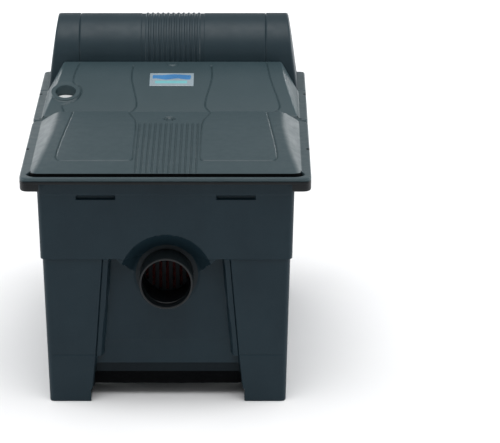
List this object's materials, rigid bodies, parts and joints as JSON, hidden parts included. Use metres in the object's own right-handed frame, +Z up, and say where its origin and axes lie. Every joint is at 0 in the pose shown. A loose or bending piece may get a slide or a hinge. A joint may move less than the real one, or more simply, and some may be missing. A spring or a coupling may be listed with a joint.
{
  "type": "pond filter",
  "caption": "Box filter for a garden pond: tapered tub on legs, lift-off lids, hinged hood over a driven screen belt, foam cartridges, pipe outlet, hose inlets, drawer and drain.",
  "frame": {"origin": "centre of the bounding box's bottom, on the ground between the legs", "axes": "+X right seen from the outlet side, +Y towards the hose inlets at the back, +Z up; the outlet faces -Y"},
  "size_m": [0.59, 0.853, 0.6564],
  "materials": {
    "tub_plastic": "satin moulded, fine texture",
    "rim_plastic": "satin",
    "inner_plastic": "matt moulded",
    "foam_blue": "open-cell foam",
    "foam_red": "open-cell foam",
    "carrier_plastic": "matt",
    "pipe_plastic": "satin",
    "seal_rubber": "matt",
    "fitting_plastic": "satin",
    "frame_plastic": "matt",
    "screen_mesh": "fine woven mesh",
    "roller_plastic": "satin",
    "gear_plastic": "natural nylon",
    "motor_plastic": "satin",
    "drawer_plastic": "satin",
    "gate_steel": "brushed",
    "handle_red": "gloss",
    "lid_plastic": "satin moulded",
    "hood_plastic": "satin moulded",
    "label_silver": null,
    "guide_plastic": "satin",
    "float_white": "matt",
    "pin_steel": "plain"
  },
  "bodies": {
    "tub": {"container": "tub_plastic", "tub_front": "tub_plastic", "tub_base": "tub_plastic", "rim_grip_left": "rim_plastic", "rim_grip_right": "rim_plastic", "lid_beam_front": "inner_plastic", "lid_beam_rear": "inner_plastic", "chamber_divider": "inner_plastic", "cartridge_tray": "inner_plastic", "drawer_housing": "inner_plastic", "outlet_strainer": "inner_plastic", "distributor_pipe": "inner_plastic", "foam_1": "foam_blue", "foam_3": "foam_blue", "foam_5": "foam_blue", "foam_2": "foam_red", "foam_4": "foam_red", "foam_6": "foam_red", "carrier_1": "carrier_plastic", "carrier_2": "carrier_plastic", "carrier_3": "carrier_plastic", "carrier_4": "carrier_plastic", "carrier_5": "carrier_plastic", "carrier_6": "carrier_plastic", "outlet_spigot": "pipe_plastic", "outlet_locknut": "pipe_plastic", "drain_valve_body": "pipe_plastic", "drain_locknut": "pipe_plastic", "drain_spigot": "pipe_plastic", "cable_gland": "pipe_plastic", "outlet_gasket": "seal_rubber", "inlet_gasket_left": "seal_rubber", "inlet_gasket_right": "seal_rubber", "scraper_lip": "seal_rubber", "inlet_body_left": "fitting_plastic", "inlet_body_right": "fitting_plastic", "hose_tail_left": "fitting_plastic", "hose_tail_right": "fitting_plastic", "screen_frame_left": "frame_plastic", "screen_frame_right": "frame_plastic", "scraper_bar": "frame_plastic", "screen_belt": "screen_mesh", "motor_housing": "motor_plastic", "hinge_pin_left": "pin_steel", "hinge_pin_right": "pin_steel"},
    "front_lid": {"front_lid": "lid_plastic"},
    "rear_lid": {"rear_lid": "lid_plastic", "label_plate": "label_silver", "indicator_guide": "guide_plastic"},
    "indicator_float": {"indicator_float": "float_white"},
    "hood": {"screen_cover": "hood_plastic"},
    "drive_roller": {"drive_roller": "roller_plastic", "roller_gear": "gear_plastic"},
    "idler_roller": {"idler_roller": "roller_plastic"},
    "motor_pinion": {"motor_pinion": "gear_plastic"},
    "drawer": {"debris_drawer": "drawer_plastic"},
    "drain_gate": {"drain_gate": "gate_steel", "drain_handle": "handle_red"},
    "nut_left": {"inlet_nut_left": "fitting_plastic"},
    "nut_right": {"inlet_nut_right": "fitting_plastic"}
  },
  "joints": [
    {"name": "front_lid_lift", "type": "slide", "parent": "tub", "child": "front_lid", "axis": [0, 0, 1], "range_m": [0, 0.25]},
    {"name": "rear_lid_lift", "type": "slide", "parent": "tub", "child": "rear_lid", "axis": [0, 0, 1], "range_m": [0, 0.25]},
    {"name": "indicator_rise", "type": "slide", "parent": "rear_lid", "child": "indicator_float", "axis": [0, 0, 1], "range_m": [0, 0.025]},
    {"name": "hood_open", "type": "hinge", "parent": "tub", "child": "hood", "pos_m": [0, 0.3725, 0.492], "axis": [-1, 0, 0], "range_deg": [0, 75]},
    {"name": "drive_roller_spin", "type": "hinge", "parent": "tub", "child": "drive_roller", "pos_m": [0, 0.2815, 0.57], "axis": [1, 0, 0], "continuous": true},
    {"name": "idler_roller_spin", "type": "hinge", "parent": "tub", "child": "idler_roller", "pos_m": [0, 0.1755, 0.3], "axis": [1, 0, 0], "continuous": true},
    {"name": "motor_pinion_spin", "type": "hinge", "parent": "tub", "child": "motor_pinion", "pos_m": [0, 0.2815, 0.5338], "axis": [1, 0, 0], "continuous": true},
    {"name": "drawer_pull", "type": "slide", "parent": "tub", "child": "drawer", "axis": [0, 1, 0], "range_m": [0, 0.07]},
    {"name": "drain_gate_lift", "type": "slide", "parent": "tub", "child": "drain_gate", "axis": [0, 0, 1], "range_m": [0, 0.074]},
    {"name": "nut_left_turn", "type": "hinge", "parent": "tub", "child": "nut_left", "pos_m": [-0.218, 0.35591, 0.425], "axis": [0, 1, 0], "continuous": true},
    {"name": "nut_right_turn", "type": "hinge", "parent": "tub", "child": "nut_right", "pos_m": [0.218, 0.35591, 0.425], "axis": [0, 1, 0], "continuous": true}
  ],
  "couplings": [
    {"joint": "idler_roller_spin", "follows": "drive_roller_spin", "ratio": 1},
    {"joint": "motor_pinion_spin", "follows": "drive_roller_spin", "ratio": -3}
  ]
}
